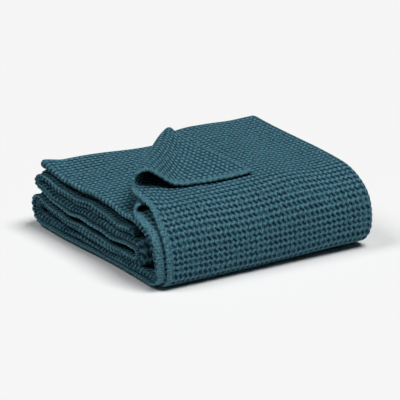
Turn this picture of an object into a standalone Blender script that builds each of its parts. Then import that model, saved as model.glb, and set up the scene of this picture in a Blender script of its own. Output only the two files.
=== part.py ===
"""A woven throw blanket, folded into a thick block with one corner of its top sheet turned back.

The throw is one panel. It is folded lengthwise into a bundle of four sheets, and the bundle is then
folded back and forth across its length: a top layer that comes over the near side and under the whole
pile, and four layers inside. Every point of the panel is given by its place on the flat cloth, across
and along, and is carried through the folds in the order in which a person would make them.

Inside the folds lengths are in millimetres. X runs along the creases, Y from the near side to the back
and Z up. The finished part is in metres, with its origin at the middle of its footprint.
"""
import bpy
import numpy as np
from mathutils import Vector
from mathutils.geometry import delaunay_2d_cdt

MM = 0.001

# The cloth, and its sheets when four of them lie on each other
SHEET = 3.5
PITCH = 4.8
FOLDED_WIDTH = 328.0
TOP_HEM_SETBACK = 15.0
INNER_CREASE_SETBACK = 7.0

TOP_LEVEL = 1.5 * PITCH
CREASE_LINE = FOLDED_WIDTH - TOP_LEVEL - SHEET / 2
INNER_RUN = CREASE_LINE - INNER_CREASE_SETBACK

# The lengthwise folds, met while walking across the flat cloth: name, length, turn in degrees, steps
ACROSS = [
    ("top sheet", CREASE_LINE - TOP_HEM_SETBACK, 0.0, 6),
    ("outer crease", np.pi * TOP_LEVEL, -180.0, 6),
    ("lowest sheet", INNER_RUN, 0.0, 4),
    ("front crease", np.pi * 0.5 * PITCH, -180.0, 4),
    ("third sheet", INNER_RUN, 0.0, 4),
    ("inner crease", np.pi * 0.5 * PITCH, 180.0, 4),
    ("second sheet", CREASE_LINE, 0.0, 4),
]

# The crosswise folds, met while walking along the bundle: name, length, turn in degrees, steps
RUN_IN = 60.0
ALONG = [
    ("run in", RUN_IN, 0.0, 2),
    ("back of top", 60.0, -6.0, 3),
    ("middle of top", 117.0, -1.0, 5),
    ("front of top", 60.0, 2.0, 3),
    ("shoulder", 46.0, 34.0, 4),
    ("upper side", 26.0, 36.0, 4),
    ("side", 27.0, 16.0, 2),
    ("foot", 27.0, 90.0, 6),
    ("bottom", 280.0, 0.0, 5),
    ("low left turn", 51.0, 187.0, 9),
    ("second back", 114.0, -4.0, 2),
    ("second front", 125.0, -3.0, 2),
    ("inner near turn", 31.0, -180.0, 8),
    ("third front", 117.0, 3.0, 2),
    ("third back", 118.0, 3.5, 2),
    ("high left turn", 35.0, 181.0, 8),
    ("fourth back", 114.0, -4.5, 3),
    ("fourth front", 113.0, -2.0, 3),
]
START_PLACE = (315.0, 104.0)
START_HEADING = 189.0

# The back hem: how far it is set in, and how far the loose top corner is pulled out past both hems
HEM_SET_IN = 30.0
CORNER_PULL = (50.0, -4.0)
PULL_WIDTH = 205.0
PULL_LENGTH = 236.0

# Corners turned back over a crease line from the front hem to the back hem, places as (across, along)
# on the top of the pile, the roll's radius at each end, and the slopes into the roll and out of it
TURNED_CORNERS = {
    "top sheet": {
        "front": (15.0, 213.0), "back": (177.0, 34.0),
        "front_radius": 13.5, "back_radius": 5.5, "slope_in": 25.0, "slope_out": 32.0,
    },
    "second sheet": {
        "front": (0.0, 247.0), "back": (184.0, 34.0),
        "front_radius": 6.0, "back_radius": 4.0, "slope_in": 8.0, "slope_out": 25.0,
    },
}
SLOPE_IN_RADII = 3.0
LANDING_RADII = 4.0
LANDING_HEIGHT = PITCH + 1.2

# How the top sheet rides up over the second sheet's turned corner
LIFT_OVER_FLAP = 6.4
LIFT_OVER_ROLL = (14.5, 9.5)
LIFT_ROLL_BAND = (-40.0, -8.0)
LIFT_FRONT_BAND = (251.0, 295.0)
LIFT_RIGHT_BAND = (216.0, 290.0)
SECOND_LIFT = 1.1
SECOND_LIFT_BAND = (60.0, 180.0)
SECOND_FRONT_BAND = (267.0, 295.0)

# Unevenness: the left edges wander, the right creases bulge, the pile grows towards the right
WANDER = 3.0
WANDER_SLOW = 71.0
WANDER_QUICK = 29.0
BULGE = 8.0
PILE_HEIGHT = 112.0
HEIGHT_LEFT = 0.92
HEIGHT_RIGHT = 1.04
BACK_DROP = 0.12
DROP_BAND = (80.0, 300.0)
DIP = 0.13
DIP_CENTRE = 172.0
DIP_WIDTH = 70.0
DIP_BAND = (170.0, 310.0)
CURL_HEIGHT = 4.5
CURL_REACH = 38.0

# Rows of points laid beside the turned corners' creases, from the crease in roll radii
APPROACH_RADII = -2.2
ROLL_RADII = 3.3
LANDED_RADII = 6.3
ROLL_STEP = 0.5
FLAP_REACH = 175.0
CREASE_STEP = 14.0
OPEN_STEP = 22.0
ROWS_BEFORE = 60.0
ROWS_BEYOND = 80.0
HEM_STEP = 8.0
HEM_FINE_LENGTH = 240.0
HEM_MARGIN = 2.5
LEAST_SPACING = 1.0
DIAGONAL_SLANT = 0.001
UNDO_ROUNDS = 14

COLOUR = (0.032, 0.135, 0.185, 1.0)
ROUGHNESS = 0.9


def smooth(value, low, high):
    """0 below low, 1 above high, and a soft S between them."""
    t = np.clip((value - low) / (high - low), 0.0, 1.0)
    return t * t * (3.0 - 2.0 * t)


def row_starts(rows):
    """The distance at which each row of a fold table begins, and the end of the last row."""
    return np.concatenate([[0.0], np.cumsum([row[1] for row in rows])])


def walk(rows, start, heading, distance):
    """Place and heading at each distance along a chain of arcs and straight runs."""
    starts = row_starts(rows)
    lengths = np.array([row[1] for row in rows])
    curvature = np.radians([row[2] for row in rows]) / lengths
    headings = np.radians(heading) + np.concatenate([[0.0], np.cumsum(curvature * lengths)])

    def chord(row, run):
        length = run * np.sinc(curvature[row] * run / (2.0 * np.pi))
        angle = headings[row] + curvature[row] * run / 2.0
        return length * np.cos(angle), length * np.sin(angle)

    step_x, step_y = chord(np.arange(len(rows)), lengths)
    corner_x = start[0] + np.concatenate([[0.0], np.cumsum(step_x)])
    corner_y = start[1] + np.concatenate([[0.0], np.cumsum(step_y)])
    row = np.clip(np.searchsorted(starts, distance, side="right") - 1, 0, len(rows) - 1)
    run = distance - starts[row]
    x, y = chord(row, run)
    return corner_x[row] + x, corner_y[row] + y, headings[row] + curvature[row] * run


def sheet_range(name):
    """Where a named sheet begins and ends across the flat cloth."""
    starts = row_starts(ACROSS)
    index = [row[0] for row in ACROSS].index(name)
    return starts[index], starts[index + 1]


def pulled(across, u, along):
    """Place on the bundle once the loose top corner, and the inner sheets' back, are pulled out."""
    on_top = across <= sheet_range("top sheet")[1]
    on_second = across >= sheet_range("second sheet")[0]
    fade = 1.0 - smooth(along, 0.0, PULL_LENGTH)
    corner = np.where(on_top, np.clip(1.0 - u / PULL_WIDTH, 0.0, 1.0), 0.0) * fade
    inner = np.where(on_top | on_second, 0.0, np.clip(1.0 - u / CREASE_LINE, 0.0, 1.0)) * fade
    q = along + HEM_SET_IN - CORNER_PULL[1] * corner - HEM_SET_IN * inner
    return u - CORNER_PULL[0] * corner, q


def crease_frame(corner):
    """The turned corner's crease as an origin, its direction, its normal to the corner, its length."""
    front = np.array(corner["front"])
    direction = np.array(corner["back"]) - front
    length = np.linalg.norm(direction)
    direction = direction / length
    normal = np.array([direction[1], -direction[0]])
    return front, direction, normal, length


def crease_radius(corner, y):
    """The roll's radius at a distance along the crease."""
    length = crease_frame(corner)[3]
    return np.interp(y, [0.0, length], [corner["front_radius"], corner["back_radius"]])


def turn_corner(corner, u, q, offset):
    """Roll the sheet back over its crease: plan place, and rise above the flat sheet.

    The sheet climbs on a wide arc, turns over on the roll, runs down and lands flat one pitch up.
    """
    front, direction, normal, _ = crease_frame(corner)
    x = (u - front[0]) * normal[0] + (q - front[1]) * normal[1]
    y = (u - front[0]) * direction[0] + (q - front[1]) * direction[1]
    radius = crease_radius(corner, y)
    angle_in = np.radians(corner["slope_in"])
    angle_out = np.radians(180.0 + corner["slope_out"])

    wide = SLOPE_IN_RADII * radius
    soft = LANDING_RADII * radius
    begin = -wide * np.sin(angle_in) - radius * (1.0 - np.sin(angle_in))
    height_in = wide * (1.0 - np.cos(angle_in))
    height_turned = height_in + radius * (np.cos(angle_in) - np.cos(angle_out))
    drop = height_turned - soft * (1.0 + np.cos(angle_out)) - LANDING_HEIGHT
    slide = np.maximum(drop / -np.sin(angle_out), 0.0)

    lengths = [wide * angle_in, radius * (angle_out - angle_in), slide, soft * (angle_out - np.pi)]
    turns = [1.0 / wide, 1.0 / radius, np.zeros_like(radius), -1.0 / soft]
    left = np.maximum(x - begin, 0.0)
    across = np.minimum(x, begin)
    rise = np.zeros_like(x)
    heading = np.zeros_like(x)
    for length, curvature in zip(lengths, turns):
        run = np.minimum(left, length)
        chord = run * np.sinc(curvature * run / (2.0 * np.pi))
        across = across + chord * np.cos(heading + curvature * run / 2.0)
        rise = rise + chord * np.sin(heading + curvature * run / 2.0)
        heading = heading + curvature * run
        left = left - run
    across = across - left
    across = np.where(x <= begin, x, across)

    across = across - offset * np.sin(heading)
    rise = rise + offset * np.cos(heading)
    new_u = front[0] + y * direction[0] + across * normal[0]
    new_q = front[1] + y * direction[1] + across * normal[1]
    return new_u, new_q, rise


def top_lift(u, q):
    """The top sheet's rise over the second sheet's turned corner and its roll."""
    corner = TURNED_CORNERS["second sheet"]
    front, direction, normal, length = crease_frame(corner)
    x = (u - front[0]) * normal[0] + (q - front[1]) * normal[1]
    y = (u - front[0]) * direction[0] + (q - front[1]) * direction[1]
    full = np.interp(y, [0.0, length], LIFT_OVER_ROLL)
    lift = LIFT_OVER_FLAP + (full - LIFT_OVER_FLAP) * smooth(x, *LIFT_ROLL_BAND)
    return lift * (1.0 - smooth(q, *LIFT_FRONT_BAND)) * (1.0 - smooth(u, *LIFT_RIGHT_BAND))


def second_lift(u, q):
    """The second sheet stands a little off the third beside its own roll."""
    return SECOND_LIFT * (1.0 - smooth(u, *SECOND_LIFT_BAND)) * (1.0 - smooth(q, *SECOND_FRONT_BAND))


def edge_wander(across, u, q):
    """How far the front edges stray: the top hem, the front crease and the second hem each its own way."""
    edge = (across > sheet_range("top sheet")[1]) * 1.0 + (across > sheet_range("second sheet")[0])
    slow = np.sin(q / WANDER_SLOW + 0.9 * edge)
    quick = np.sin(q / WANDER_QUICK + 2.1 * edge)
    return WANDER * (0.7 * slow + 0.3 * quick) * np.clip(1.0 - u / CREASE_LINE, 0.0, 1.0)


def floor_height():
    """Height of the bottom layer's underside, where the pile rests flat."""
    bottom = row_starts(ALONG)[[row[0] for row in ALONG].index("bottom")]
    return walk(ALONG, START_PLACE, START_HEADING, np.array([bottom]))[1][0] - TOP_LEVEL - SHEET / 2


def fold(across, along, side):
    """Carry points of the flat cloth, side -0.5 to 0.5 through its thickness, to the folded throw."""
    offset = side * SHEET
    u, level, turn = walk(ACROSS, (TOP_HEM_SETBACK, TOP_LEVEL), 0.0, across)
    u, q = pulled(across, u, along)
    wander = edge_wander(across, u, q)
    h = level + offset * np.cos(turn)
    u_side = u - offset * np.sin(turn)

    for name, corner in TURNED_CORNERS.items():
        low, high = sheet_range(name)
        here = (across >= low) & (across <= high)
        rolled_u, rolled_q, rise = turn_corner(corner, u, q, offset * np.cos(turn))
        if name == "top sheet":
            rise = rise + top_lift(rolled_u, rolled_q)
        else:
            rise = rise + second_lift(rolled_u, rolled_q)
        u_side = np.where(here, rolled_u, u_side)
        h = np.where(here, level + rise, h)
        q = np.where(here, rolled_q, q)

    inner = (across > sheet_range("top sheet")[1]) & (across < sheet_range("second sheet")[0])
    curl = smooth(-u_side, -CURL_REACH, 0.0) * smooth(-q, -CURL_REACH, 0.0)
    h = h + np.where(inner, CURL_HEIGHT * curl, 0.0)

    v, z, heading = walk(ALONG, START_PLACE, START_HEADING, q + RUN_IN)
    x = u_side + wander
    y = v + h * np.sin(heading)
    z = z - h * np.cos(heading) - floor_height()
    return spread(x, y, z)


def spread(x, y, z):
    """The pile's own lean: taller to the right, and its right creases bulge at half height."""
    share = np.clip(x / FOLDED_WIDTH, 0.0, 1.0)
    grow = HEIGHT_LEFT + (HEIGHT_RIGHT - HEIGHT_LEFT) * share
    grow = grow - BACK_DROP * (1.0 - share) ** 2 * smooth(y, *DROP_BAND)
    grow = grow - DIP * np.exp(-((x - DIP_CENTRE) / DIP_WIDTH) ** 2) * smooth(y, *DIP_BAND)
    bulge = BULGE * share ** 3 * np.sin(np.pi * np.clip(z / PILE_HEIGHT, 0.0, 1.0))
    return np.stack([x + bulge, y, z * grow], axis=-1)


def steps_of(rows):
    """The grid lines of a fold table: each row cut into its own number of equal steps."""
    starts = row_starts(rows)
    lines = [start + row[1] * np.arange(row[3]) / row[3] for start, row in zip(starts, rows)]
    return np.concatenate(lines + [[starts[-1]]])


def flat_from_plan(name, u, q):
    """Undo the lengthwise fold and the hem offset for a sheet that carries a turned corner."""
    low, high = sheet_range(name)
    flat_u = u
    along = q - HEM_SET_IN
    for _ in range(UNDO_ROUNDS):
        across = low + flat_u - TOP_HEM_SETBACK if name == "top sheet" else high - flat_u
        back_u, back_q = pulled(across, flat_u, along)
        flat_u = flat_u + u - back_u
        along = along + q - back_q
    return across, along


def corner_points(name, size):
    """Points in rows beside a turned corner's crease, close on the roll and open beyond it."""
    corner = TURNED_CORNERS[name]
    front, direction, normal, length = crease_frame(corner)
    points = []
    radius = corner["front_radius"]
    near = np.arange(APPROACH_RADII, ROLL_RADII, ROLL_STEP) * radius
    landing = np.arange(ROLL_RADII, LANDED_RADII, 2.0 * ROLL_STEP) * radius
    far = np.arange(LANDED_RADII * radius + OPEN_STEP / 2, FLAP_REACH, OPEN_STEP)
    for x in np.concatenate([near, landing, far]):
        step = CREASE_STEP if x < far[0] else OPEN_STEP
        for y in np.arange(-ROWS_BEFORE, length + ROWS_BEYOND, step):
            spot = front + y * direction + x * normal
            points.append(spot)
    points = np.array(points)
    across, along = flat_from_plan(name, points[:, 0], points[:, 1])
    low, high = sheet_range(name)
    keep = (across > low + HEM_MARGIN) & (across < high - HEM_MARGIN)
    if name == "second sheet":
        keep = (across > low) & (across < size[0] - HEM_MARGIN)
    keep = keep & (along > HEM_MARGIN)
    return np.stack([across[keep], along[keep]], axis=-1)


def near_crease(name, across, along):
    """True where the corner's own points take the place of the grid's."""
    low, high = sheet_range(name)
    u, q = pulled(across, walk(ACROSS, (TOP_HEM_SETBACK, TOP_LEVEL), 0.0, across)[0], along)
    corner = TURNED_CORNERS[name]
    front, _, normal, _ = crease_frame(corner)
    x = (u - front[0]) * normal[0] + (q - front[1]) * normal[1]
    return (across >= low) & (across <= high) & (x > APPROACH_RADII * corner["front_radius"] - HEM_STEP)


def flat_points():
    """The flat cloth's points: the fold tables' grid, with the corners' own rows laid into it."""
    columns = steps_of(ACROSS)
    rows = steps_of(ALONG)
    rows = rows - RUN_IN - HEM_SET_IN
    rows = np.concatenate([[0.0], rows[rows > OPEN_STEP / 2]])
    size = (columns[-1], rows[-1])
    across, along = (grid.ravel() for grid in np.meshgrid(columns, rows, indexing="ij"))
    taken = np.zeros(len(across), dtype=bool)
    for name in TURNED_CORNERS:
        taken = taken | near_crease(name, across, along)
    rim = (across == 0.0) | (across == size[0]) | (along == 0.0) | (along == size[1])
    points = [np.stack([across, along], axis=-1)[~taken | rim]]
    points += [corner_points(name, size) for name in TURNED_CORNERS]

    hem = np.arange(HEM_STEP, HEM_FINE_LENGTH, HEM_STEP)
    points.append(np.stack([np.zeros_like(hem), hem], axis=-1))
    points.append(np.stack([np.full_like(hem, size[0]), hem], axis=-1))
    points.append(np.stack([hem, np.zeros_like(hem)], axis=-1))
    points.append(np.stack([size[0] - hem, np.zeros_like(hem)], axis=-1))
    return np.concatenate(points), size


def spaced(points, least):
    """Drop each point that lies closer than the least distance to an earlier one."""
    kept = []
    cells = {}
    for point in points:
        cell = tuple(int(value // least) for value in point)
        around = [(cell[0] + i, cell[1] + j) for i in (-1, 0, 1) for j in (-1, 0, 1)]
        close = [other for key in around for other in cells.get(key, [])]
        if all(np.hypot(*(point - other)) >= least for other in close):
            kept.append(point)
            cells.setdefault(cell, []).append(point)
    return np.array(kept)


def throw_mesh():
    """The folded panel as one closed solid: two faces of triangles, joined around the rim."""
    points, size = flat_points()
    points = spaced(points, LEAST_SPACING)
    # A slight slant makes the triangles of sheets that lie on each other run the same way
    slant = DIAGONAL_SLANT * walk(ACROSS, (TOP_HEM_SETBACK, TOP_LEVEL), 0.0, points[:, 0])[0]
    slanted = [Vector((across, along + shift)) for (across, along), shift in zip(points, slant)]
    faces = delaunay_2d_cdt(slanted, [], [], 0, 1e-5)[2]
    flat = points
    triangles = np.array([tuple(face) for face in faces])
    first = flat[triangles[:, 1]] - flat[triangles[:, 0]]
    second = flat[triangles[:, 2]] - flat[triangles[:, 0]]
    area = first[:, 0] * second[:, 1] - first[:, 1] * second[:, 0]
    triangles = np.where((area > 0)[:, None], triangles, triangles[:, ::-1])
    triangles = triangles[np.abs(area) > 1e-6]

    upper = fold(flat[:, 0], flat[:, 1], 0.5)
    lower = fold(flat[:, 0], flat[:, 1], -0.5)
    count = len(flat)
    sides = np.concatenate([triangles[:, [0, 1]], triangles[:, [1, 2]], triangles[:, [2, 0]]])
    known = {tuple(side) for side in sides.tolist()}
    rim = np.array([side for side in sides.tolist() if (side[1], side[0]) not in known])
    walls = np.concatenate([
        np.stack([rim[:, 1], rim[:, 0], rim[:, 0] + count], axis=-1),
        np.stack([rim[:, 1], rim[:, 0] + count, rim[:, 1] + count], axis=-1),
    ])
    # Walking across and then along turns clockwise seen from the upper side, so its triangles turn round
    shell = np.concatenate([triangles[:, ::-1], triangles + count, walls[:, ::-1]])
    places = np.concatenate([upper, lower])
    middle = (places.min(axis=0) + places.max(axis=0)) / 2.0
    middle[2] = places[:, 2].min()
    return (places - middle) * MM, shell


def cloth_material():
    """Petrol blue cotton, dull all over."""
    material = bpy.data.materials.new("throw_cloth")
    material.use_nodes = True
    shader = material.node_tree.nodes["Principled BSDF"]
    shader.inputs["Base Color"].default_value = COLOUR
    shader.inputs["Roughness"].default_value = ROUGHNESS
    shader.inputs["Metallic"].default_value = 0.0
    return material


def build_throw():
    """The folded throw as one object."""
    places, shell = throw_mesh()
    mesh = bpy.data.meshes.new("throw")
    mesh.from_pydata(places.tolist(), [], shell.tolist())
    mesh.update()
    mesh.shade_smooth()
    throw = bpy.data.objects.new("throw", mesh)
    throw.data.materials.append(cloth_material())
    bpy.context.scene.collection.objects.link(throw)
    return throw


for leftover in list(bpy.data.objects):
    bpy.data.objects.remove(leftover, do_unlink=True)
build_throw()
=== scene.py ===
"""A folded waffle-weave throw blanket, with one corner of its top sheet turned back.

The throw is one long panel of cloth. It is folded lengthwise into a bundle of four sheets, and the
bundle is folded back and forth into five layers. Each piece below is a stretch of that panel, modelled
as a closed sheet with its waffle relief on both faces and carried through the same folds.

Inside the folds lengths are in millimetres, X runs along the creases and Y from the near side to the
back. The pieces are in metres, in the frame's own axes.
"""

import math

import bpy
import numpy as np
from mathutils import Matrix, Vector


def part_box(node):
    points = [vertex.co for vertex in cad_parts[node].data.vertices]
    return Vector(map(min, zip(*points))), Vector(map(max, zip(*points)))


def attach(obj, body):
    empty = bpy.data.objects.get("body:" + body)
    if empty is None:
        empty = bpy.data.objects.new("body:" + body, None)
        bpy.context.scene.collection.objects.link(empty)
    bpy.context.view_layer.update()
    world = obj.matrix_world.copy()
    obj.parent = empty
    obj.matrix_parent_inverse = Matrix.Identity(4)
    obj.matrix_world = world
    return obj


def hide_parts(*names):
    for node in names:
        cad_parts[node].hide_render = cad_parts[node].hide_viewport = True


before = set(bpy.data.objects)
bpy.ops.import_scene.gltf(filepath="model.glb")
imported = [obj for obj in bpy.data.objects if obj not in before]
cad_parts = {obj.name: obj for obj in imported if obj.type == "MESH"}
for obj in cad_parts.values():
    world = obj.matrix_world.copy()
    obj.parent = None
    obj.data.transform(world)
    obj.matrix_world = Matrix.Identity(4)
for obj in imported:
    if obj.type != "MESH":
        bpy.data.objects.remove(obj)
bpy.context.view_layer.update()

MM = 0.001


# Cloth material
# Dull petrol blue cotton. Painted shade darkens the weave's hollows and a painted highlight pales its rib
# crowns, the colour drifts a little over the cloth, and fine yarns show in the bump on every rib.

# The tones from the painted shade at the bottom of a hollow to the painted highlight on a rib's crown, and
# where each lies on that way
HOLLOW_SHADE_COLOUR = (0.001, 0.005, 0.014, 1.0)
SLOPE_COLOUR = (0.006, 0.029, 0.054, 1.0)
RIB_COLOUR = (0.044, 0.130, 0.172, 1.0)
CROWN_HIGHLIGHT_COLOUR = (0.116, 0.272, 0.316, 1.0)
TONE_PLACES = (0.06, 0.33, 0.64, 1.0)

# What moves a point's tone: fine mottles, and short strands laid aslant, each as a share of the way
MOTTLE_SHARE = 0.55
MOTTLE_SCALE = 475.0
MOTTLE_DETAIL = 2.0
STRAND_SHARE = 1.0
STRAND_SIZE = (1.5 * MM, 4.4 * MM)
STRAND_TURN = 24.0
STRAND_DETAIL = 1.0

# The slow drift of the colour over the cloth
DRIFT_SCALE = 14.0
DRIFT_DETAIL = 3.0
DRIFT_RANGE = (0.90, 1.10)

# The dull face of brushed cotton, with a faint sheen
CLOTH_ROUGHNESS = 0.92
CLOTH_SPECULAR = 0.1
CLOTH_SHEEN = 0.08
SHEEN_TINT = (0.35, 0.75, 0.85, 1.0)
SHEEN_ROUGHNESS = 0.55

# The bump of the crossing yarns, and of the fuzz on them. At scale 1 the wave texture's bands are
# WAVE_PERIOD apart
WAVE_PERIOD = math.pi / 10.0
YARN_WIDTH = 2.2 * MM
YARN_UNEVENNESS = 2.0
YARN_DETAIL = 1.0
YARN_DETAIL_SCALE = 2.0
YARN_STRENGTH = 0.8
YARN_BUMP = 0.55 * MM
FUZZ_SCALE = 1900.0
FUZZ_DETAIL = 2.0
FUZZ_STRENGTH = 0.6
FUZZ_BUMP = 0.25 * MM


def add_node(tree, kind, **settings):
    """A new node of a material, with its settings and its named inputs set."""
    node = tree.nodes.new(kind)
    for name, value in settings.items():
        if hasattr(node, name):
            setattr(node, name, value)
        else:
            node.inputs[name.replace("_", " ").title()].default_value = value
    return node


def cloth_material():
    """Waffle cotton: tone from the relief attribute, yarn bump from the cloth's own flat coordinates.

    The tone is the relief, plus the mottles and the strands by their shares, less half of both shares.
    """
    material = bpy.data.materials.new("throw_cloth")
    material.use_nodes = True
    tree = material.node_tree
    shader = tree.nodes["Principled BSDF"]
    shader.inputs["Metallic"].default_value = 0.0
    shader.inputs["Roughness"].default_value = CLOTH_ROUGHNESS
    shader.inputs["Sheen Weight"].default_value = CLOTH_SHEEN
    shader.inputs["Sheen Roughness"].default_value = SHEEN_ROUGHNESS
    shader.inputs["Sheen Tint"].default_value = SHEEN_TINT
    shader.inputs["Specular IOR Level"].default_value = CLOTH_SPECULAR

    place = add_node(tree, "ShaderNodeTexCoord")
    # The relief attribute holds painted shade for the weave's hollows and a painted highlight for its rib
    # crowns and knots
    relief = add_node(tree, "ShaderNodeAttribute", attribute_name="relief")

    mottle = add_node(tree, "ShaderNodeTexNoise", scale=MOTTLE_SCALE, detail=MOTTLE_DETAIL)
    tree.links.new(place.outputs["UV"], mottle.inputs["Vector"])
    mottle_share = add_node(tree, "ShaderNodeMath", operation="MULTIPLY_ADD")
    mottle_share.inputs[1].default_value = MOTTLE_SHARE
    tree.links.new(mottle.outputs["Fac"], mottle_share.inputs[0])
    tree.links.new(relief.outputs["Fac"], mottle_share.inputs[2])

    along_strands = add_node(tree, "ShaderNodeMapping")
    along_strands.inputs["Rotation"].default_value = (0.0, 0.0, math.radians(STRAND_TURN))
    along_strands.inputs["Scale"].default_value = (1.0 / STRAND_SIZE[0], 1.0 / STRAND_SIZE[1], 1.0)
    tree.links.new(place.outputs["UV"], along_strands.inputs["Vector"])
    strands = add_node(tree, "ShaderNodeTexNoise", scale=1.0, detail=STRAND_DETAIL)
    tree.links.new(along_strands.outputs["Vector"], strands.inputs["Vector"])
    strand_share = add_node(tree, "ShaderNodeMath", operation="MULTIPLY_ADD")
    strand_share.inputs[1].default_value = STRAND_SHARE
    tree.links.new(strands.outputs["Fac"], strand_share.inputs[0])
    tree.links.new(mottle_share.outputs[0], strand_share.inputs[2])
    level = add_node(tree, "ShaderNodeMath", operation="SUBTRACT", use_clamp=True)
    level.inputs[1].default_value = (MOTTLE_SHARE + STRAND_SHARE) / 2.0
    tree.links.new(strand_share.outputs[0], level.inputs[0])

    tones = add_node(tree, "ShaderNodeValToRGB")
    steps = tones.color_ramp.elements
    for place_on_ramp in TONE_PLACES[1:-1]:
        steps.new(place_on_ramp)
    colours = (HOLLOW_SHADE_COLOUR, SLOPE_COLOUR, RIB_COLOUR, CROWN_HIGHLIGHT_COLOUR)
    for step, place_on_ramp, colour in zip(steps, TONE_PLACES, colours):
        step.position = place_on_ramp
        step.color = colour
    tree.links.new(level.outputs[0], tones.inputs["Fac"])

    drift = add_node(tree, "ShaderNodeTexNoise", scale=DRIFT_SCALE, detail=DRIFT_DETAIL)
    tree.links.new(place.outputs["UV"], drift.inputs["Vector"])
    drift_range = add_node(tree, "ShaderNodeMapRange")
    drift_range.inputs["To Min"].default_value = DRIFT_RANGE[0]
    drift_range.inputs["To Max"].default_value = DRIFT_RANGE[1]
    tree.links.new(drift.outputs["Fac"], drift_range.inputs["Value"])
    shade = add_node(tree, "ShaderNodeHueSaturation")
    tree.links.new(drift_range.outputs["Result"], shade.inputs["Value"])
    tree.links.new(tones.outputs["Color"], shade.inputs["Color"])
    tree.links.new(shade.outputs["Color"], shader.inputs["Base Color"])

    yarns = []
    for direction in ("X", "Y"):
        wave = add_node(
            tree, "ShaderNodeTexWave", bands_direction=direction,
            scale=WAVE_PERIOD / YARN_WIDTH, distortion=YARN_UNEVENNESS, detail=YARN_DETAIL,
        )
        wave.inputs["Detail Scale"].default_value = YARN_DETAIL_SCALE
        tree.links.new(place.outputs["UV"], wave.inputs["Vector"])
        yarns.append(wave)
    crossed = add_node(tree, "ShaderNodeMath", operation="MULTIPLY")
    tree.links.new(yarns[0].outputs["Fac"], crossed.inputs[0])
    tree.links.new(yarns[1].outputs["Fac"], crossed.inputs[1])
    fuzz = add_node(tree, "ShaderNodeTexNoise", scale=FUZZ_SCALE, detail=FUZZ_DETAIL)
    tree.links.new(place.outputs["UV"], fuzz.inputs["Vector"])

    fuzz_bump = add_node(tree, "ShaderNodeBump", strength=FUZZ_STRENGTH, distance=FUZZ_BUMP)
    tree.links.new(fuzz.outputs["Fac"], fuzz_bump.inputs["Height"])
    yarn_bump = add_node(tree, "ShaderNodeBump", strength=YARN_STRENGTH, distance=YARN_BUMP)
    tree.links.new(crossed.outputs[0], yarn_bump.inputs["Height"])
    tree.links.new(fuzz_bump.outputs["Normal"], yarn_bump.inputs["Normal"])
    tree.links.new(yarn_bump.outputs["Normal"], shader.inputs["Normal"])
    return material


CLOTH = cloth_material()


# Top layer
# The bundle's top sheet over the pile and down its near side, with the outer crease and a strip of the
# lowest sheet behind it. Its loose corner is turned back over a soft roll, which shows both faces.

SHEET = 3.5
PITCH = 4.8
FOLDED_WIDTH = 328.0
TOP_HEM_SETBACK = 15.0
INNER_CREASE_SETBACK = 7.0
TOP_LEVEL = 1.5 * PITCH
CREASE_LINE = FOLDED_WIDTH - TOP_LEVEL - SHEET / 2
INNER_RUN = CREASE_LINE - INNER_CREASE_SETBACK

# The lengthwise folds, met while walking across the flat cloth: name, length, turn in degrees
ACROSS = [
    ("top sheet", CREASE_LINE - TOP_HEM_SETBACK, 0.0),
    ("outer crease", np.pi * TOP_LEVEL, -180.0),
    ("lowest sheet", INNER_RUN, 0.0),
    ("front crease", np.pi * 0.5 * PITCH, -180.0),
    ("third sheet", INNER_RUN, 0.0),
    ("inner crease", np.pi * 0.5 * PITCH, 180.0),
    ("second sheet", CREASE_LINE, 0.0),
]

# The crosswise folds, met while walking along the bundle: name, length, turn in degrees
RUN_IN = 60.0
ALONG = [
    ("run in", RUN_IN, 0.0),
    ("back of top", 60.0, -6.0),
    ("middle of top", 117.0, -1.0),
    ("front of top", 60.0, 2.0),
    ("shoulder", 46.0, 34.0),
    ("upper side", 26.0, 36.0),
    ("side", 27.0, 16.0),
    ("foot", 27.0, 90.0),
    ("bottom", 280.0, 0.0),
    ("low left turn", 51.0, 187.0),
    ("second back", 114.0, -4.0),
    ("second front", 125.0, -3.0),
    ("inner near turn", 31.0, -180.0),
    ("third front", 117.0, 3.0),
    ("third back", 118.0, 3.5),
    ("high left turn", 35.0, 181.0),
    ("fourth back", 114.0, -4.5),
    ("fourth front", 113.0, -2.0),
]
START_PLACE = (315.0, 104.0)
START_HEADING = 189.0

# The back hem: how far it is set in, and how far the loose top corner is pulled out past both hems
HEM_SET_IN = 30.0
CORNER_PULL = (50.0, -4.0)
PULL_WIDTH = 205.0
PULL_LENGTH = 236.0

# Corners turned back over a crease line from the front hem to the back hem, places as (across, along)
# on the top of the pile, the roll's radius at each end, and the slopes into the roll and out of it
TURNED_CORNERS = {
    "top sheet": {
        "front": (15.0, 213.0), "back": (177.0, 34.0),
        "front_radius": 13.5, "back_radius": 5.5, "slope_in": 25.0, "slope_out": 32.0,
    },
    "second sheet": {
        "front": (0.0, 247.0), "back": (184.0, 34.0),
        "front_radius": 6.0, "back_radius": 4.0, "slope_in": 8.0, "slope_out": 25.0,
    },
}
SLOPE_IN_RADII = 3.0
LANDING_RADII = 4.0
LANDING_HEIGHT = PITCH + 1.2

# How the top sheet rides up over the second sheet's turned corner
LIFT_OVER_FLAP = 6.4
LIFT_OVER_ROLL = (14.5, 9.5)
LIFT_ROLL_BAND = (-40.0, -8.0)
LIFT_FRONT_BAND = (251.0, 295.0)
LIFT_RIGHT_BAND = (216.0, 290.0)
SECOND_LIFT = 1.1
SECOND_LIFT_BAND = (60.0, 180.0)
SECOND_FRONT_BAND = (267.0, 295.0)

# How the left edges stray: a slow and a quick wave, each edge at its own place on them
WANDER = 3.0
WANDER_SLOW = 71.0
WANDER_QUICK = 29.0
WANDER_SHARES = (0.7, 0.3)
WANDER_STARTS = (0.9, 2.1)

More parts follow.
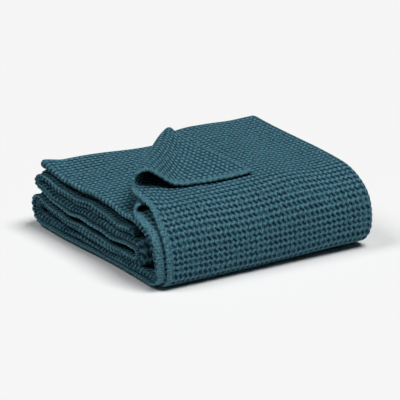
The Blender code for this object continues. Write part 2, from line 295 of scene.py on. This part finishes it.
# The pile's lean: taller to the right, lower at the back left, with a dip in the middle of the back
PILE_HEIGHT = 112.0
HEIGHT_LEFT = 0.92
HEIGHT_RIGHT = 1.04
BACK_DROP = 0.09
DROP_BAND = (80.0, 300.0)
DIP = 0.13
DIP_CENTRE = 172.0
DIP_WIDTH = 70.0
DIP_BAND = (170.0, 310.0)

# How far the right creases bulge, and how much less they do so at the near side
BULGE = 8.0
NEAR_BAND = (15.0, 110.0)
NEAR_FLATTER = 0.4

# The curl of the inner sheets' bare corner
CURL_HEIGHT = 9.5
CURL_SHARE_BELOW = 0.15
CURL_REACH = 38.0

# A slow sag of the flat runs, in two crossing waves
SAG = 0.9
SAG_ACROSS = 33.0
SAG_ALONG = 41.0
SAG_START = 0.6
SAG_SLANT = 97.0

# A waviness of the open left edges, in a long and a short wave
SWAY = 2.0
SWAY_REACH = 55.0
SWAY_LONG = 20.0
SWAY_LONG_SLANT = 40.0
SWAY_SHORT = 8.5
SWAY_SHORT_SLANT = 15.0
SWAY_SHORT_SHARE = 0.45

# The layers' edges at the far left corner: they rise, and the upper ones stand further out
LIP_RISE = 8.0
LIP_OUT = 4.5
LIP_OUT_BAND = (0.2, 0.55)
LIP_REACH = 90.0
LIP_BAND = (130.0, 310.0)
LIP_SKEW = 0.85

# A dent in the right edge, and the far right corner's rise behind it
RIGHT_BAND = (190.0, 320.0)
DENT = 4.0
DENT_PLACE = 276.0
DENT_WIDTH = 26.0
CORNER_RISE = 2.5
CORNER_BAND = (290.0, 330.0)

# The near lower edge lifts off the floor towards the right
FOOT_RISE = 4.0
FOOT_BAND = (90.0, 320.0)
FOOT_HEIGHT = 60.0

# The waffle weave: its cells, the cloth's half thickness in the hollows and the ribs' height on it.
# The lower face's cells are moved by half a cell from the upper face's
CELL_ACROSS = 7.5
CELL_ALONG = 7.5
FACE_SHIFTS = (0.0, 0.5)
HOLLOW_HALF = 0.85
RIB_HEIGHT = 1.48
SHARPNESS_ACROSS = 1.08
SHARPNESS_ALONG = 1.6
HOLE_SLANT = 0.19
# The share of the painted highlight that falls where two ribs cross
KNOT_HIGHLIGHT_SHARE = 0.38

# Some hollows are closed by chance. The steps and the stretch of the wave that this is drawn from
CLOSED_HOLLOW = 0.65
CHANCE_STEPS = (12.9898, 78.233)
CHANCE_STRETCH = 43758.5453

# The lattice's slow drift, by the lengths of its waves along and across the cloth, and a quicker ripple
WEAVE_DRIFT = 1.1
DRIFT_WAVES_ACROSS = (53.0, 131.0)
DRIFT_WAVES_ALONG = (173.0, 47.0)
RIPPLE_WAVES = (17.0, 23.0)
RIPPLE_ACROSS = 0.5
RIPPLE_ALONG = -0.4

# The cloth where it carries no weave, and its plain hems: narrower inside the pile, with fine ribs. The
# ribs' tone is painted shade and highlight, and both their height and this painted shade are stronger
# inside the pile
PLAIN_HALF = 1.6
PLAIN_RELIEF = 0.5
HEM_HALF = 1.8
HEM_RELIEF = 0.70
TOP_HEM_BAND = (6.0, 9.5)
SECOND_HEM_BAND = (9.0, 12.5)
END_HEM_BAND = (2.0, 5.0)
HEM_NARROWING = 7.0
HEM_CHANGE = 20.0
HEM_RIBS_PER_CELL = 2.0
HEM_RIB_HEIGHT = 0.12
# Painted shade and highlight along the fine hem ribs
HEM_RIB_SHADE = 0.11
INSIDE_RIBS = 3.2

# The round rim of the hems, and the scallops that the weave draws in their edge
RIM_LINES = (0.5, 1.5, 3.0)
RIM_CLEARANCE = 0.5
RIM_SHARE = 0.35
RIM_ROUND = 1.7
SCALLOP = 0.9
SCALLOP_REACH = 4.0

# Distances between a piece's lines: four lines for each cell where the weave shows, fewer where not
LINES_PER_CELL = 4.0
FINE_ACROSS = CELL_ACROSS / LINES_PER_CELL
FINE_ALONG = CELL_ALONG / LINES_PER_CELL
CREASE_LINES = 1.26
OPEN_ACROSS = 14.0
EDGE_WIDTH = 42.0
CREASE_MARGIN = 26.0
SPACING_BAND = (1.15, 2.2)

# How clear of a run's ends its lines stay, in steps, how near two lines are one and the same, and the
# grid of points by which the cloth's middle is found
END_CLEARANCE = 0.4
SAME_LINE = 1e-6
CENTRE_GRID = (400, 500)


def smooth(value, low, high):
    """0 below low, 1 above high, and a soft S between them."""
    t = np.clip((value - low) / (high - low), 0.0, 1.0)
    return t * t * (3.0 - 2.0 * t)


def row_starts(rows):
    """The distance at which each row of a fold table begins, and the end of the last row."""
    return np.concatenate([[0.0], np.cumsum([row[1] for row in rows])])


def walk(rows, start, heading, distance):
    """Place and heading at each distance along a chain of arcs and straight runs.

    Inside a row the way covered is the chord of its arc, at half the arc's turn.
    """
    starts = row_starts(rows)
    lengths = np.array([row[1] for row in rows])
    curvature = np.radians([row[2] for row in rows]) / lengths
    headings = np.radians(heading) + np.concatenate([[0.0], np.cumsum(curvature * lengths)])

    def chord(row, run):
        length = run * np.sinc(curvature[row] * run / (2.0 * np.pi))
        angle = headings[row] + curvature[row] * run / 2.0
        return length * np.cos(angle), length * np.sin(angle)

    step_x, step_y = chord(np.arange(len(rows)), lengths)
    corner_x = start[0] + np.concatenate([[0.0], np.cumsum(step_x)])
    corner_y = start[1] + np.concatenate([[0.0], np.cumsum(step_y)])
    row = np.clip(np.searchsorted(starts, distance, side="right") - 1, 0, len(rows) - 1)
    run = distance - starts[row]
    x, y = chord(row, run)
    return corner_x[row] + x, corner_y[row] + y, headings[row] + curvature[row] * run


def row_range(rows, name):
    """Where a named row of a fold table begins and ends."""
    starts = row_starts(rows)
    index = [row[0] for row in rows].index(name)
    return starts[index], starts[index + 1]


def pulled(across, u, along):
    """Place on the bundle once the loose top corner, and the inner sheets' back, are pulled out."""
    on_top = across <= row_range(ACROSS, "top sheet")[1]
    on_second = across >= row_range(ACROSS, "second sheet")[0]
    fade = 1.0 - smooth(along, 0.0, PULL_LENGTH)
    corner = np.where(on_top, np.clip(1.0 - u / PULL_WIDTH, 0.0, 1.0), 0.0) * fade
    inner = np.where(on_top | on_second, 0.0, np.clip(1.0 - u / CREASE_LINE, 0.0, 1.0)) * fade
    q = along + HEM_SET_IN - CORNER_PULL[1] * corner - HEM_SET_IN * inner
    return u - CORNER_PULL[0] * corner, q


def crease_place(corner, u, q):
    """Distance past a turned corner's crease, distance along it from the front, and the crease's length."""
    front = np.array(corner["front"])
    direction = np.array(corner["back"]) - front
    length = np.linalg.norm(direction)
    direction = direction / length
    normal = np.array([direction[1], -direction[0]])
    x = (u - front[0]) * normal[0] + (q - front[1]) * normal[1]
    y = (u - front[0]) * direction[0] + (q - front[1]) * direction[1]
    return x, y, front, direction, normal, length


def turn_corner(corner, u, q, offset):
    """Roll the sheet back over its crease: plan place, and rise above the flat sheet.

    The sheet climbs on a wide arc, turns over on the roll, runs down and lands flat one pitch up.
    Each arc adds its chord, and the offset goes along the sheet's normal.
    """
    x, y, front, direction, normal, length = crease_place(corner, u, q)
    radius = np.interp(y, [0.0, length], [corner["front_radius"], corner["back_radius"]])
    angle_in = np.radians(corner["slope_in"])
    angle_out = np.radians(180.0 + corner["slope_out"])

    wide = SLOPE_IN_RADII * radius
    soft = LANDING_RADII * radius
    begin = -wide * np.sin(angle_in) - radius * (1.0 - np.sin(angle_in))
    height_in = wide * (1.0 - np.cos(angle_in))
    height_turned = height_in + radius * (np.cos(angle_in) - np.cos(angle_out))
    drop = height_turned - soft * (1.0 + np.cos(angle_out)) - LANDING_HEIGHT
    slide = np.maximum(drop / -np.sin(angle_out), 0.0)

    arcs = [wide * angle_in, radius * (angle_out - angle_in), slide, soft * (angle_out - np.pi)]
    turns = [1.0 / wide, 1.0 / radius, np.zeros_like(radius), -1.0 / soft]
    left = np.maximum(x - begin, 0.0)
    across = np.minimum(x, begin)
    rise = np.zeros_like(x)
    heading = np.zeros_like(x)
    for arc, curvature in zip(arcs, turns):
        run = np.minimum(left, arc)
        chord = run * np.sinc(curvature * run / (2.0 * np.pi))
        across = across + chord * np.cos(heading + curvature * run / 2.0)
        rise = rise + chord * np.sin(heading + curvature * run / 2.0)
        heading = heading + curvature * run
        left = left - run
    across = np.where(x <= begin, x, across - left)

    across = across - offset * np.sin(heading)
    rise = rise + offset * np.cos(heading)
    new_u = front[0] + y * direction[0] + across * normal[0]
    new_q = front[1] + y * direction[1] + across * normal[1]
    return new_u, new_q, rise


def top_lift(u, q):
    """The top sheet's rise over the second sheet's turned corner and its roll."""
    x, y, _, _, _, length = crease_place(TURNED_CORNERS["second sheet"], u, q)
    full = np.interp(y, [0.0, length], LIFT_OVER_ROLL)
    lift = LIFT_OVER_FLAP + (full - LIFT_OVER_FLAP) * smooth(x, *LIFT_ROLL_BAND)
    return lift * (1.0 - smooth(q, *LIFT_FRONT_BAND)) * (1.0 - smooth(u, *LIFT_RIGHT_BAND))


def second_lift(u, q):
    """The second sheet stands a little off the third beside its own roll."""
    return SECOND_LIFT * (1.0 - smooth(u, *SECOND_LIFT_BAND)) * (1.0 - smooth(q, *SECOND_FRONT_BAND))


def edge_wander(across, u, q):
    """How far the left edges stray: the top hem, the front crease and the second hem each its own way."""
    edge = (across > row_range(ACROSS, "top sheet")[1]) * 1.0
    edge = edge + (across > row_range(ACROSS, "second sheet")[0])
    slow = np.sin(q / WANDER_SLOW + WANDER_STARTS[0] * edge)
    quick = np.sin(q / WANDER_QUICK + WANDER_STARTS[1] * edge)
    strayed = WANDER * (WANDER_SHARES[0] * slow + WANDER_SHARES[1] * quick)
    return strayed * np.clip(1.0 - u / CREASE_LINE, 0.0, 1.0)


def spread(x, y, z):
    """The pile's own lean and unevenness, as a stretch of its height and small shifts up and out.

    The height is stretched towards the right and pressed down at the back. The right creases bulge by
    half a sine of the height, and less at the near side. The open left edges sway, and at the far left
    they rise and stand out. The right edge is dented before its far corner, and the near lower edge
    lifts towards the right. All of these fade with soft steps or with the distance from their edge.
    """
    share = np.clip(x / FOLDED_WIDTH, 0.0, 1.0)
    height = np.clip(z / PILE_HEIGHT, 0.0, 1.0)
    grow = HEIGHT_LEFT + (HEIGHT_RIGHT - HEIGHT_LEFT) * share
    grow = grow - BACK_DROP * (1.0 - share) ** 2 * smooth(y, *DROP_BAND)
    grow = grow - DIP * np.exp(-((x - DIP_CENTRE) / DIP_WIDTH) ** 2) * smooth(y, *DIP_BAND)

    near = 1.0 - smooth(y, *NEAR_BAND)
    bulge = BULGE * share ** 3 * np.sin(np.pi * height) * (1.0 - NEAR_FLATTER * near)
    foot_rise = FOOT_RISE * smooth(x, *FOOT_BAND) * near * (1.0 - smooth(z, 0.0, FOOT_HEIGHT))
    sag = SAG * height * np.sin(x / SAG_ACROSS + SAG_START) * np.sin(y / SAG_ALONG + x / SAG_SLANT)

    sway = SWAY * np.exp(-np.maximum(x, 0.0) / SWAY_REACH) * np.sin(np.pi * height)
    long_wave = np.sin(y / SWAY_LONG + z / SWAY_LONG_SLANT)
    short_wave = np.sin(y / SWAY_SHORT + z / SWAY_SHORT_SLANT)
    sway = sway * (long_wave + SWAY_SHORT_SHARE * short_wave)
    far_left = np.exp(-np.maximum(x, 0.0) / LIP_REACH) * smooth(y, *LIP_BAND)
    lip_rise = LIP_RISE * far_left * np.sin(np.pi * height ** LIP_SKEW)
    lip_out = LIP_OUT * far_left * smooth(height, *LIP_OUT_BAND)

    dent = DENT * np.exp(-((y - DENT_PLACE) / DENT_WIDTH) ** 2) - CORNER_RISE * smooth(y, *CORNER_BAND)
    dent = dent * smooth(x, *RIGHT_BAND) * height
    risen = np.maximum(z * grow + sag + sway + lip_rise + foot_rise - dent, 0.0)
    return np.stack([x + bulge - lip_out, y, risen], axis=-1)


def fold(across, along, offset):
    """Carry points of the flat cloth, at their offset along its normal, to the folded throw.

    The walk across gives each point's place and level in the bundle. The turned corners and the bare
    corner's curl raise it. The walk along gives the bundle's place and heading, the level is set off
    from it, and the pile's unevenness comes last.
    """
    u, level, turn = walk(ACROSS, (TOP_HEM_SETBACK, TOP_LEVEL), 0.0, across)
    u, q = pulled(across, u, along)
    wander = edge_wander(across, u, q)
    h = level + offset * np.cos(turn)
    u_side = u - offset * np.sin(turn)

    for name, corner in TURNED_CORNERS.items():
        low, high = row_range(ACROSS, name)
        here = (across <= high) if name == "top sheet" else (across >= low)
        rolled_u, rolled_q, rise = turn_corner(corner, u, q, offset * np.cos(turn))
        lift = top_lift if name == "top sheet" else second_lift
        rise = rise + lift(rolled_u, rolled_q)
        u_side = np.where(here, rolled_u, u_side)
        h = np.where(here, level + rise, h)
        q = np.where(here, rolled_q, q)

    inner = (across > row_range(ACROSS, "top sheet")[1]) & (across < row_range(ACROSS, "second sheet")[0])
    curl = smooth(-u_side, -CURL_REACH, 0.0) * smooth(-q, -CURL_REACH, 0.0)
    opened = CURL_SHARE_BELOW + (1.0 - CURL_SHARE_BELOW) * (0.5 + 0.5 * np.cos(turn))
    h = h + np.where(inner, CURL_HEIGHT * opened * curl, 0.0)

    bottom = np.array([row_range(ALONG, "bottom")[0]])
    floor = walk(ALONG, START_PLACE, START_HEADING, bottom)[1][0] - TOP_LEVEL - SHEET / 2
    v, z, heading = walk(ALONG, START_PLACE, START_HEADING, q + RUN_IN)
    return spread(u_side + wander, v + h * np.sin(heading), z - h * np.cos(heading) - floor)


ACROSS_END = row_starts(ACROSS)[-1]
ALONG_START = RUN_IN + HEM_SET_IN
ALONG_END = row_starts(ALONG)[-1] - ALONG_START


def along_range(name):
    """Where a named crosswise fold begins and ends along the flat cloth."""
    low, high = row_range(ALONG, name)
    return low - ALONG_START, high - ALONG_START


BOTTOM_START = along_range("bottom")[0]


def lines(start, end, step):
    """Lines from start to end, those between them on whole multiples of the step, clear of both ends."""
    inside = np.arange(np.ceil(start / step), np.floor(end / step) + 1) * step
    clear = (inside > start + END_CLEARANCE * step) & (inside < end - END_CLEARANCE * step)
    return np.concatenate([[start], inside[clear], [end]])


def joined(*parts):
    """Several runs of lines as one, with extra lines by each hem of the cloth that they reach."""
    found = np.concatenate(parts)
    for hem, way in ((0.0, 1.0), (ACROSS_END, -1.0), (ALONG_END, -1.0)):
        distance = np.abs(found - hem)
        if np.any(distance < SAME_LINE):
            found = found[(distance < SAME_LINE) | (distance > RIM_LINES[-1] + RIM_CLEARANCE)]
            found = np.concatenate([found, hem + way * np.array(RIM_LINES)])
    found = np.sort(found)
    return found[np.concatenate([[True], np.diff(found) > SAME_LINE])]


def rib(place, cell, sharpness):
    """A row of soft ribs, one for each cell: 1 on a rib's crown and 0 midway between two."""
    return (0.5 + 0.5 * np.cos(2.0 * np.pi * place / cell)) ** sharpness


def chance(column, row):
    """A number from 0 to 1 for each cell, as if by chance: the fraction of a steep wave of its place."""
    return np.mod(np.sin(column * CHANCE_STEPS[0] + row * CHANCE_STEPS[1]) * CHANCE_STRETCH, 1.0)


def slow_wave(across, along, lengths):
    """A sine over the flat cloth, by the ways along it and across it in which it turns one radian."""
    return np.sin(along / lengths[0] + across / lengths[1])


def waffle(across, along, shift):
    """The weave's height, 0 in a hollow and 1 on a rib, and its tone of painted shade and highlight,
    darkest in a hollow and 1 only where two ribs cross.

    Two crossing rows of ribs make it, each raised to its sharpness. The lattice drifts in slow waves, as
    a handled cloth's does, its columns slant to and fro within each cell, and the shift moves it by a
    share of a cell for the cloth's other face.
    """
    ripple = slow_wave(across, along, RIPPLE_WAVES)
    drift_across = WEAVE_DRIFT * (slow_wave(across, along, DRIFT_WAVES_ACROSS) + RIPPLE_ACROSS * ripple)
    drift_along = WEAVE_DRIFT * (slow_wave(across, along, DRIFT_WAVES_ALONG) + RIPPLE_ALONG * ripple)
    row = along + drift_along + shift * CELL_ALONG
    slant = HOLE_SLANT * CELL_ACROSS * np.sin(2.0 * np.pi * row / CELL_ALONG)
    column = across + drift_across + slant + shift * CELL_ACROSS
    ribs_across = rib(column, CELL_ACROSS, SHARPNESS_ACROSS)
    ribs_along = rib(row, CELL_ALONG, SHARPNESS_ALONG)
    closed = CLOSED_HOLLOW * chance(np.floor(column / CELL_ACROSS), np.floor(row / CELL_ALONG)) ** 2
    height = np.maximum(1.0 - (1.0 - ribs_across) * (1.0 - ribs_along), closed)
    return height, (1.0 - KNOT_HIGHLIGHT_SHARE) * height + KNOT_HIGHLIGHT_SHARE * ribs_across * ribs_along


def carried_share(places, fine):
    """1 on lines close enough to carry the weave, and 0 where they are too far apart."""
    gaps = np.diff(places)
    wider = np.maximum(np.append(gaps, gaps[-1]), np.insert(gaps, 0, gaps[0]))
    return 1.0 - smooth(wider / fine, *SPACING_BAND)


def cloth_faces(across, along, share):
    """Half thickness, and tone of painted shade and highlight, of both faces of the cloth.

    Inside the hems it is the weave's, as far as the lines carry it. At the hems it goes over to a plain
    band with fine ribs, which is narrower inside the pile, and the rim is rounded off by a quarter circle.
    """
    ends = np.minimum(along, ALONG_END - along)
    sides = np.minimum(across, ACROSS_END - across)
    inside = smooth(along, BOTTOM_START, BOTTOM_START + HEM_CHANGE)
    narrowing = HEM_NARROWING * inside
    bands = (
        (across + narrowing, TOP_HEM_BAND),
        (ACROSS_END - across + narrowing, SECOND_HEM_BAND),
        (ends, END_HEM_BAND),
    )
    weave = np.min([smooth(distance, *band) for distance, band in bands], axis=0)
    woven = share * weave
    fine_ribs = np.cos(2.0 * np.pi * HEM_RIBS_PER_CELL * along / CELL_ALONG)
    ribs = (1.0 - weave) * (1.0 + INSIDE_RIBS * inside) * fine_ribs
    plain = PLAIN_HALF + (HEM_HALF + HEM_RIB_HEIGHT * ribs - PLAIN_HALF) * (1.0 - weave)
    plain_shade_tone = PLAIN_RELIEF + (HEM_RELIEF + HEM_RIB_SHADE * ribs - PLAIN_RELIEF) * (1.0 - weave)
    roundness = np.sqrt(1.0 - (1.0 - np.clip(np.minimum(ends, sides) / RIM_ROUND, 0.0, 1.0)) ** 2)
    rim = RIM_SHARE + (1.0 - RIM_SHARE) * roundness
    faces = []
    for shift in FACE_SHIFTS:
        height, shade_tone = waffle(across, along, shift)
        half = (plain + (HOLLOW_HALF + RIB_HEIGHT * height - plain) * woven) * rim
        faces.append((half, plain_shade_tone + (shade_tone - plain_shade_tone) * woven))
    return faces


def grid_quads(rows, columns, first, flip):
    """The quads of a grid of points numbered row by row from first."""
    index = first + np.arange(rows * columns).reshape(rows, columns)
    corners = [index[:-1, :-1], index[:-1, 1:], index[1:, 1:], index[1:, :-1]]
    quads = np.stack(corners, axis=-1).reshape(-1, 4)
    return quads[:, ::-1] if flip else quads


def rim_quads(rows, columns):
    """The quads that join the two faces of a closed sheet around its rim."""
    index = np.arange(rows * columns).reshape(rows, columns)
    loop = np.concatenate([index[0, :-1], index[:-1, -1], index[-1, :0:-1], index[:0:-1, 0]])
    after = np.roll(loop, -1)
    count = rows * columns
    return np.stack([after, loop, loop + count, after + count], axis=-1)


def centre_shift():
    """What moves the fold's own axes to the frame's: the cloth's middle to the node's, in plan."""
    columns = np.linspace(0, ACROSS_END, CENTRE_GRID[0])
    rows = np.linspace(0, ALONG_END, CENTRE_GRID[1])
    across, along = (grid.ravel() for grid in np.meshgrid(columns, rows))
    faces = [fold(across, along, np.full(across.size, side)) for side in (-SHEET / 2, SHEET / 2)]
    places = np.concatenate(faces)
    middle = (places.min(axis=0) + places.max(axis=0)) / 2.0
    low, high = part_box("throw")
    return np.array([(low[0] + high[0]) / 2 / MM - middle[0], (low[1] + high[1]) / 2 / MM - middle[1], 0.0])


SHIFT = centre_shift()


def cloth_piece(name, columns, rows):
    """A stretch of the cloth between lines across and along it, as a closed sheet on its folds."""
    across, along = (grid.ravel() for grid in np.meshgrid(columns, rows, indexing="ij"))
    share_across = carried_share(columns, FINE_ACROSS)
    share_along = carried_share(rows, FINE_ALONG)
    share = np.outer(share_across, share_along).ravel()
    edge = np.exp(-across / SCALLOP_REACH) - np.exp((across - ACROSS_END) / SCALLOP_REACH)
    scalloped = across - SCALLOP * edge * np.sin(2.0 * np.pi * along / CELL_ALONG)

    upper, lower = cloth_faces(across, along, share)
    places = np.concatenate([fold(scalloped, along, upper[0]), fold(scalloped, along, -lower[0])])
    places = (places + SHIFT) * MM
    # Each face's tone, with painted shade in the weave's hollows and a painted highlight on its crowns,
    # goes to the relief attribute
    relief = np.concatenate([upper[1], lower[1]])
    count = len(across)
    quads = np.concatenate([
        grid_quads(len(columns), len(rows), 0, False),
        grid_quads(len(columns), len(rows), count, True),
        rim_quads(len(columns), len(rows)),
    ])

    mesh = bpy.data.meshes.new(name)
    mesh.from_pydata(places.tolist(), [], quads.tolist())
    mesh.update()
    mesh.shade_smooth()
    flat = np.stack([np.tile(across, 2), np.tile(along, 2)], axis=-1) * MM
    uv = mesh.uv_layers.new(name="flat cloth")
    uv.data.foreach_set("uv", flat[quads.ravel()].ravel())
    mesh.attributes.new("relief", "FLOAT", "POINT").data.foreach_set("value", relief)
    piece = bpy.data.objects.new(name, mesh)
    piece.data.materials.append(CLOTH)
    bpy.context.scene.collection.objects.link(piece)

    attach(piece, "root")
    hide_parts("throw")


OUTER_START, OUTER_END = row_range(ACROSS, "outer crease")
BEHIND = OUTER_END + CREASE_MARGIN

outer_columns = joined(lines(0.0, BEHIND, FINE_ACROSS))
top_rows = joined(lines(0.0, BOTTOM_START, FINE_ALONG))
cloth_piece("top_layer", outer_columns, top_rows)


# Under layer
# The same stretch of cloth where it lies under the pile and turns up at the back, so that the low
# turn shows its weave from behind.

LOW_TURN_END = along_range("low left turn")[1] + CREASE_MARGIN
under_rows = lines(BOTTOM_START, LOW_TURN_END, FINE_ALONG)
cloth_piece("under_layer", outer_columns, under_rows)


# Middle layers
# The outer sheet inside the pile. Only its hem at the left end and its crease at the right end show, so
# the lines between them stand further apart.

HIGH_TURN_START = along_range("high left turn")[0] - CREASE_MARGIN
HIGH_TURN_END = along_range("high left turn")[1] + CREASE_MARGIN
edge_columns = joined(
    lines(0.0, EDGE_WIDTH, FINE_ACROSS),
    lines(EDGE_WIDTH, OUTER_START - CREASE_MARGIN, OPEN_ACROSS),
    lines(OUTER_START - CREASE_MARGIN, BEHIND, FINE_ACROSS),
)
middle_rows = lines(LOW_TURN_END, HIGH_TURN_START, FINE_ALONG)
cloth_piece("middle_layers", edge_columns, middle_rows)


# High turn and last layer
# The upper turn at the back shows its weave from behind, and the last layer only its two ends.

high_rows = lines(HIGH_TURN_START, HIGH_TURN_END, FINE_ALONG)
cloth_piece("high_turn", outer_columns, high_rows)
last_rows = joined(lines(HIGH_TURN_END, ALONG_END, FINE_ALONG))
cloth_piece("last_layer", edge_columns, last_rows)


# Inner sheets of the top layer
# Under the turned corner the third sheet lies bare, with the front crease at its left edge, and the
# second sheet's own corner is turned back inside the top sheet's roll.

BARE_WIDTH = 205.0
FRONT_START, FRONT_END = row_range(ACROSS, "front crease")
INNER_START, INNER_END = row_range(ACROSS, "inner crease")
third_columns = joined(
    lines(BEHIND, FRONT_START - EDGE_WIDTH, OPEN_ACROSS),
    lines(FRONT_START - EDGE_WIDTH, FRONT_START, FINE_ACROSS),
    lines(FRONT_START, FRONT_END, CREASE_LINES),
    lines(FRONT_END, FRONT_END + BARE_WIDTH, FINE_ACROSS),
    lines(FRONT_END + BARE_WIDTH, INNER_START, OPEN_ACROSS),
)
cloth_piece("third_sheet", third_columns, top_rows)
second_columns = joined(
    lines(INNER_START, INNER_END, CREASE_LINES),
    lines(INNER_END, ACROSS_END - BARE_WIDTH, OPEN_ACROSS),
    lines(ACROSS_END - BARE_WIDTH, ACROSS_END, FINE_ACROSS),
)
cloth_piece("second_sheet", second_columns, top_rows)


# Inner sheets of the other layers
# The lowest, third and second sheets down the near side, under the pile and back and forth inside it.
# Their front creases and the second hem show at the left end.

inner_columns = joined(
    lines(BEHIND, FRONT_START - EDGE_WIDTH, OPEN_ACROSS),
    lines(FRONT_START - EDGE_WIDTH, FRONT_START, FINE_ACROSS),
    lines(FRONT_START, FRONT_END, CREASE_LINES),
    lines(FRONT_END, FRONT_END + EDGE_WIDTH, FINE_ACROSS),
    lines(FRONT_END + EDGE_WIDTH, INNER_START, OPEN_ACROSS),
    lines(INNER_START, INNER_END, CREASE_LINES),
    lines(INNER_END, ACROSS_END - EDGE_WIDTH, OPEN_ACROSS),
    lines(ACROSS_END - EDGE_WIDTH, ACROSS_END, FINE_ACROSS),
)
INNER_CUTS = (BOTTOM_START, along_range("low left turn")[1], along_range("inner near turn")[1], ALONG_END)
for number, (cut_start, cut_end) in enumerate(zip(INNER_CUTS[:-1], INNER_CUTS[1:]), start=1):
    cut_rows = joined(lines(cut_start, cut_end, FINE_ALONG))
    cloth_piece(f"inner_layers_{number}", inner_columns, cut_rows)


# Floor, light and camera
# A plain pale floor, a soft key from high on the right, a weaker fill from the left and a little behind,
# and a long lens at the angle of view from which the throw is rebuilt.

FLOOR_SIZE = 14.0
FLOOR_COLOUR = (0.83, 0.83, 0.83, 1.0)
FLOOR_ROUGHNESS = 0.9
WORLD_COLOUR = (1.0, 1.0, 1.0, 1.0)
WORLD_STRENGTH = 0.02
KEY_AZIMUTH = 42.0
KEY_ELEVATION = 69.0
KEY_STRENGTH = 2.78
KEY_WIDTH = 30.0
FILL_AZIMUTH = -112.0
FILL_ELEVATION = 54.0
FILL_STRENGTH = 1.08
FILL_WIDTH = 26.0
LAMP_DISTANCE = 3.0
CAMERA_AZIMUTH = -32.5
CAMERA_ELEVATION = 18.5
CAMERA_DISTANCE = 3.6
CAMERA_LENS = 244.0
CAMERA_TARGET = Vector((-0.001, 0.0, 0.0485))


def direction_from(azimuth, elevation):
    """Unit vector towards a place seen at an azimuth, 0 in front and 90 to the right, and an elevation."""
    turn = math.radians(azimuth)
    rise = math.radians(elevation)
    return Vector((math.sin(turn) * math.cos(rise), -math.cos(turn) * math.cos(rise), math.sin(rise)))


def wide_light(name, azimuth, elevation, strength, width):
    """A soft light, alike over the whole floor: its direction, its strength and its width in degrees."""
    light = bpy.data.lights.new(name, "SUN")
    light.energy = strength
    light.angle = math.radians(width)
    lamp = bpy.data.objects.new(name, light)
    toward = direction_from(azimuth, elevation)
    lamp.location = toward * LAMP_DISTANCE
    lamp.rotation_euler = (-toward).to_track_quat("-Z", "Y").to_euler()
    bpy.context.scene.collection.objects.link(lamp)


def pale_floor():
    """A wide plain floor in a dull pale grey."""
    half = FLOOR_SIZE / 2.0
    mesh = bpy.data.meshes.new("floor")
    corners = [(-half, -half, 0.0), (half, -half, 0.0), (half, half, 0.0), (-half, half, 0.0)]
    mesh.from_pydata(corners, [], [(0, 1, 2, 3)])
    material = bpy.data.materials.new("pale_floor")
    material.use_nodes = True
    shader = material.node_tree.nodes["Principled BSDF"]
    shader.inputs["Base Color"].default_value = FLOOR_COLOUR
    shader.inputs["Roughness"].default_value = FLOOR_ROUGHNESS
    mesh.materials.append(material)
    floor = bpy.data.objects.new("floor", mesh)
    bpy.context.scene.collection.objects.link(floor)


pale_floor()
wide_light("key_light", KEY_AZIMUTH, KEY_ELEVATION, KEY_STRENGTH, KEY_WIDTH)
wide_light("fill_light", FILL_AZIMUTH, FILL_ELEVATION, FILL_STRENGTH, FILL_WIDTH)

world = bpy.data.worlds.new("studio")
world.use_nodes = True
world.node_tree.nodes["Background"].inputs["Color"].default_value = WORLD_COLOUR
world.node_tree.nodes["Background"].inputs["Strength"].default_value = WORLD_STRENGTH
bpy.context.scene.world = world
bpy.context.scene.view_settings.view_transform = "Standard"

lens = bpy.data.cameras.new("camera")
lens.lens = CAMERA_LENS
camera = bpy.data.objects.new("camera", lens)
view_from = direction_from(CAMERA_AZIMUTH, CAMERA_ELEVATION)
camera.location = CAMERA_TARGET + view_from * CAMERA_DISTANCE
camera.rotation_euler = (-view_from).to_track_quat("-Z", "Y").to_euler()
bpy.context.scene.collection.objects.link(camera)
bpy.context.scene.camera = camera
